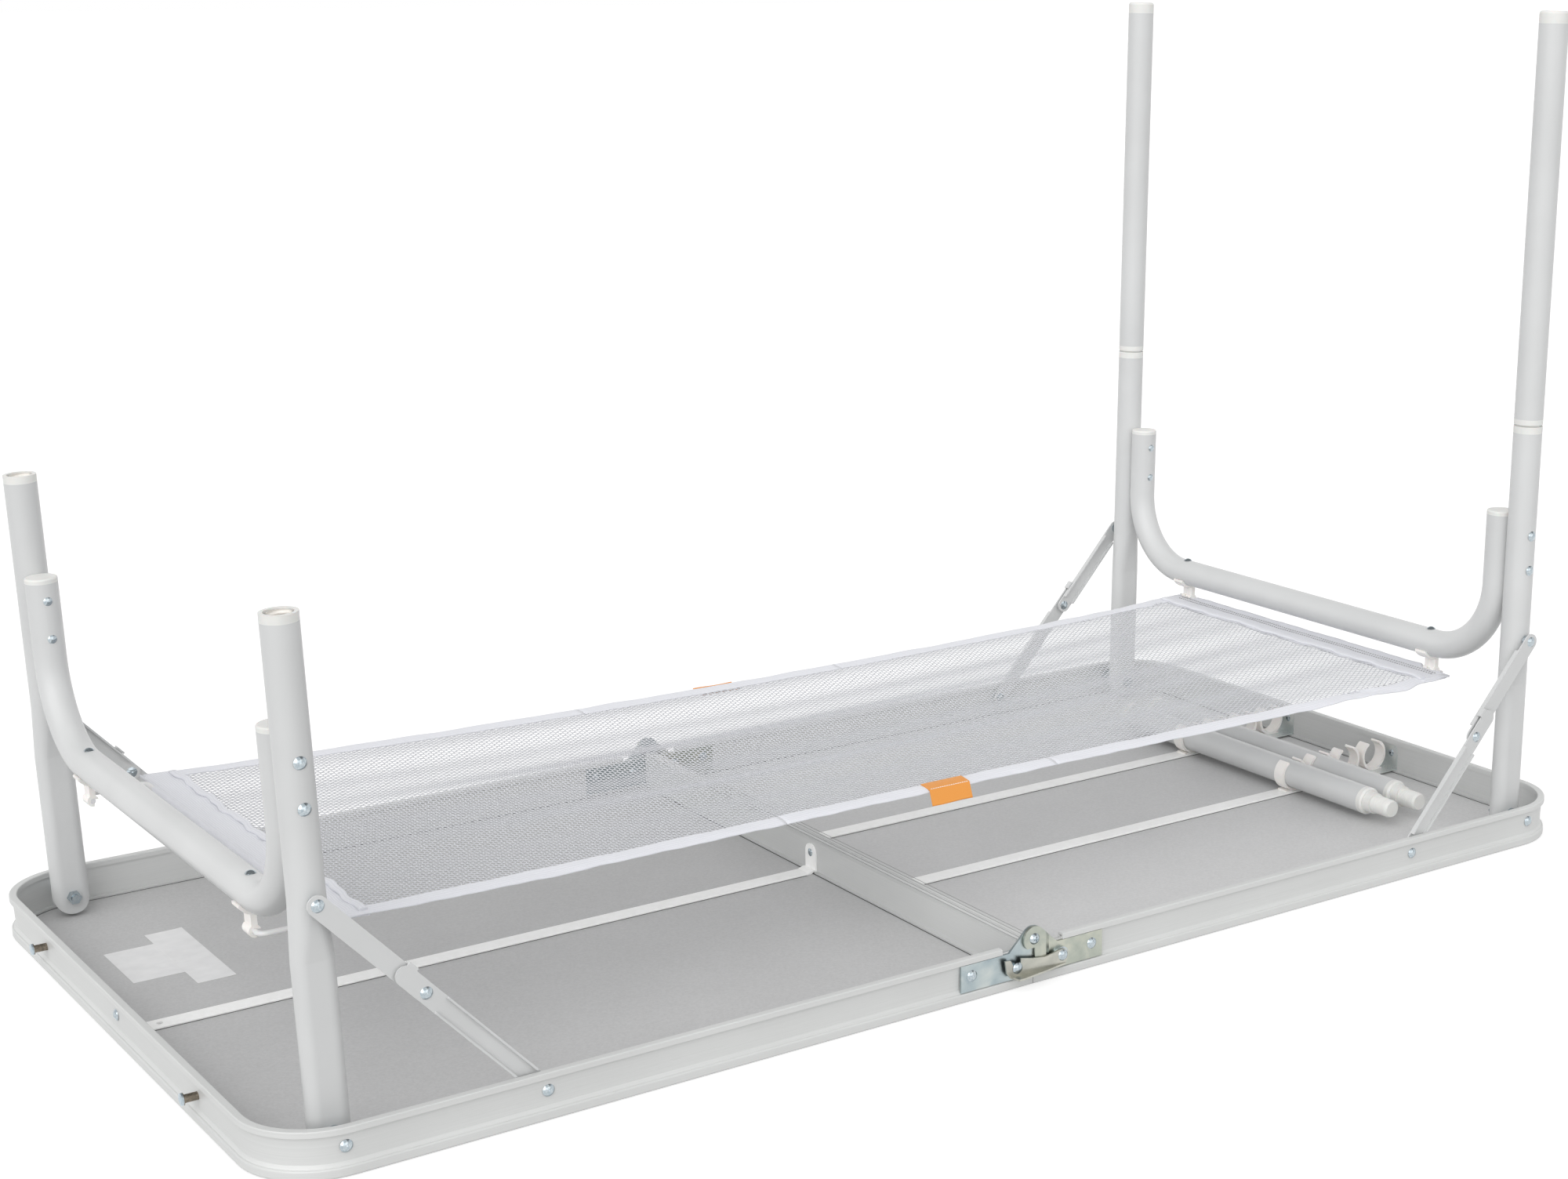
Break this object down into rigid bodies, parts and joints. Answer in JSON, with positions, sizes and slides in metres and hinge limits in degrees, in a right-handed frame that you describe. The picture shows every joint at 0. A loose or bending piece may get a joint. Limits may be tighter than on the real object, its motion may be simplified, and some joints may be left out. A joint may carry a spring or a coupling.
{
  "type": "folding table",
  "caption": "Case-style folding table lying on its top, with hinged aluminium-framed halves, latched fold, braced folding tube legs, screw-in leg extensions and a net shelf.",
  "frame": {"origin": "middle of the table top's face, on the fold line; the table lies on its top", "axes": "+X along the table towards the end that stores the spare tubes, +Y across it, +Z from the table top towards the feet"},
  "size_m": [1.2091, 0.638, 0.7208],
  "materials": {
    "rail": "satin",
    "panel": "matt laminate",
    "strip": "satin",
    "white_steel": "satin powder coat",
    "zinc_plate": "zinc plated",
    "bright_steel": "bright",
    "clip_plastic": "satin",
    "white_plastic": "satin",
    "coated_wire": "plastic coated",
    "net": "knitted mesh"
  },
  "bodies": {
    "right_half": {"right_frame_rail": "rail", "right_top_panel": "panel", "right_centre_bar": "rail", "right_strips": "strip", "filled_clips": "clip_plastic", "empty_clips": "clip_plastic", "clip_brackets": "zinc_plate", "right_hinge_plates": "zinc_plate", "hinge_screws": "bright_steel", "latch_pivots": "bright_steel", "right_rail_rivets": "bright_steel", "right_leg_bolts": "bright_steel", "centre_net": "net"},
    "left_half": {"left_frame_rail": "rail", "left_top_panel": "panel", "left_centre_bar": "rail", "left_strip": "strip", "left_hinge_plates": "zinc_plate", "latch_pins": "bright_steel", "left_rail_rivets": "bright_steel", "hanging_pins": "bright_steel", "left_leg_bolts": "bright_steel"},
    "latch_near": {"latch_lever_near": "zinc_plate"},
    "latch_far": {"latch_lever_far": "zinc_plate"},
    "left_legs": {"left_leg_near": "white_steel", "left_leg_far": "white_steel", "left_u_bar": "white_steel", "left_u_bar_caps": "white_plastic", "left_leg_sockets": "white_plastic", "left_leg_rivets": "bright_steel", "left_net_clips": "clip_plastic", "left_clip_screws": "bright_steel"},
    "right_legs": {"right_leg_near": "white_steel", "right_leg_far": "white_steel", "right_u_bar": "white_steel", "right_u_bar_caps": "white_plastic", "right_leg_sockets": "white_plastic", "right_leg_rivets": "bright_steel", "right_net_clips": "clip_plastic", "right_clip_screws": "bright_steel", "right_net_rod": "coated_wire"},
    "net_frame": {"left_net_rod": "coated_wire"},
    "left_lower_brace_pair": {"left_lower_braces": "white_steel", "left_middle_rivets": "bright_steel"},
    "left_upper_brace_pair": {"left_upper_braces": "white_steel", "left_upper_rivets": "bright_steel"},
    "right_lower_brace_pair": {"right_lower_braces": "white_steel", "right_middle_rivets": "bright_steel"},
    "right_upper_brace_pair": {"right_upper_braces": "white_steel", "right_upper_rivets": "bright_steel"},
    "extension_near": {"extension_tube_near": "white_steel", "extension_ends_near": "white_plastic"},
    "extension_far": {"extension_tube_far": "white_steel", "extension_ends_far": "white_plastic"},
    "stored_tube_a": {"stored_tube_1": "white_steel", "stored_ends_1": "white_plastic"},
    "stored_tube_b": {"stored_tube_2": "white_steel", "stored_ends_2": "white_plastic"},
    "net_left_part": {"left_net": "net"},
    "net_right_part": {"right_net": "net"}
  },
  "joints": [
    {"name": "table_fold", "type": "hinge", "parent": "right_half", "child": "left_half", "pos_m": [0, 0, 0.0375], "axis": [0, -1, 0], "range_deg": [-110, 0], "deforming": ["centre_net"]},
    {"name": "latch_near_turn", "type": "hinge", "parent": "right_half", "child": "latch_near", "pos_m": [0.0258, 0, 0.019], "axis": [0, -1, 0], "range_deg": [0, 55]},
    {"name": "latch_far_turn", "type": "hinge", "parent": "right_half", "child": "latch_far", "pos_m": [0.0258, 0, 0.019], "axis": [0, -1, 0], "range_deg": [0, 55]},
    {"name": "left_leg_fold", "type": "hinge", "parent": "left_half", "child": "left_legs", "pos_m": [-0.5472, 0, 0.0207], "axis": [0, 1, 0], "range_deg": [0, 91.5], "deforming": ["left_net"]},
    {"name": "right_leg_fold", "type": "hinge", "parent": "right_half", "child": "right_legs", "pos_m": [0.5472, 0, 0.0207], "axis": [0, -1, 0], "range_deg": [0, 88.5], "deforming": ["right_net"]},
    {"name": "left_lower_brace_turn", "type": "hinge", "parent": "left_half", "child": "left_lower_brace_pair", "pos_m": [-0.4046, 0, 0.0207], "axis": [0, 1, 0], "range_deg": [0, 132.84]},
    {"name": "left_upper_brace_turn", "type": "hinge", "parent": "left_lower_brace_pair", "child": "left_upper_brace_pair", "pos_m": [-0.48427, 0, 0.10815], "axis": [0, 1, 0], "range_deg": [-180.5, 0]},
    {"name": "right_lower_brace_turn", "type": "hinge", "parent": "right_half", "child": "right_lower_brace_pair", "pos_m": [0.4046, 0, 0.0207], "axis": [0, -1, 0], "range_deg": [0, 129.29]},
    {"name": "right_upper_brace_turn", "type": "hinge", "parent": "right_lower_brace_pair", "child": "right_upper_brace_pair", "pos_m": [0.48427, 0, 0.10815], "axis": [0, -1, 0], "range_deg": [-176.31, 0]},
    {"name": "net_frame_swing", "type": "hinge", "parent": "left_legs", "child": "net_frame", "pos_m": [-0.55306, 0, 0.12988], "axis": [0, 1, 0], "range_deg": [0, 90.5]},
    {"name": "left_net_drop", "type": "hinge", "parent": "left_half", "child": "net_left_part", "pos_m": [-0.13, 0, 0.118], "axis": [0, -1, 0], "range_deg": [0, 15.6]},
    {"name": "right_net_drop", "type": "hinge", "parent": "right_half", "child": "net_right_part", "pos_m": [0.13, 0, 0.118], "axis": [0, 1, 0], "range_deg": [0, 12.6]},
    {"name": "extension_near_pull", "type": "slide", "parent": "right_legs", "child": "extension_near", "axis": [0.0262, 0, 0.9997], "range_m": [0, 0.03]},
    {"name": "extension_far_pull", "type": "slide", "parent": "right_legs", "child": "extension_far", "axis": [0.0262, 0, 0.9997], "range_m": [0, 0.03]},
    {"name": "stored_tube_1_lift", "type": "slide", "parent": "right_half", "child": "stored_tube_a", "axis": [0, 0, 1], "range_m": [0, 0.04], "deforming": ["filled_clips"]},
    {"name": "stored_tube_2_lift", "type": "slide", "parent": "right_half", "child": "stored_tube_b", "axis": [0, 0, 1], "range_m": [0, 0.04]}
  ],
  "couplings": [
    {"joint": "latch_near_turn", "follows": "table_fold", "ratio": -0.5},
    {"joint": "latch_far_turn", "follows": "table_fold", "ratio": -0.5},
    {"joint": "left_lower_brace_turn", "follows": "left_leg_fold", "ratio": 1.4463},
    {"joint": "left_upper_brace_turn", "follows": "left_leg_fold", "ratio": -1.9672},
    {"joint": "right_lower_brace_turn", "follows": "right_leg_fold", "ratio": 1.4552},
    {"joint": "right_upper_brace_turn", "follows": "right_leg_fold", "ratio": -1.9866},
    {"joint": "net_frame_swing", "follows": "left_leg_fold", "ratio": 0.98361},
    {"joint": "left_net_drop", "follows": "left_leg_fold", "ratio": 0.1694},
    {"joint": "right_net_drop", "follows": "right_leg_fold", "ratio": 0.14124}
  ]
}
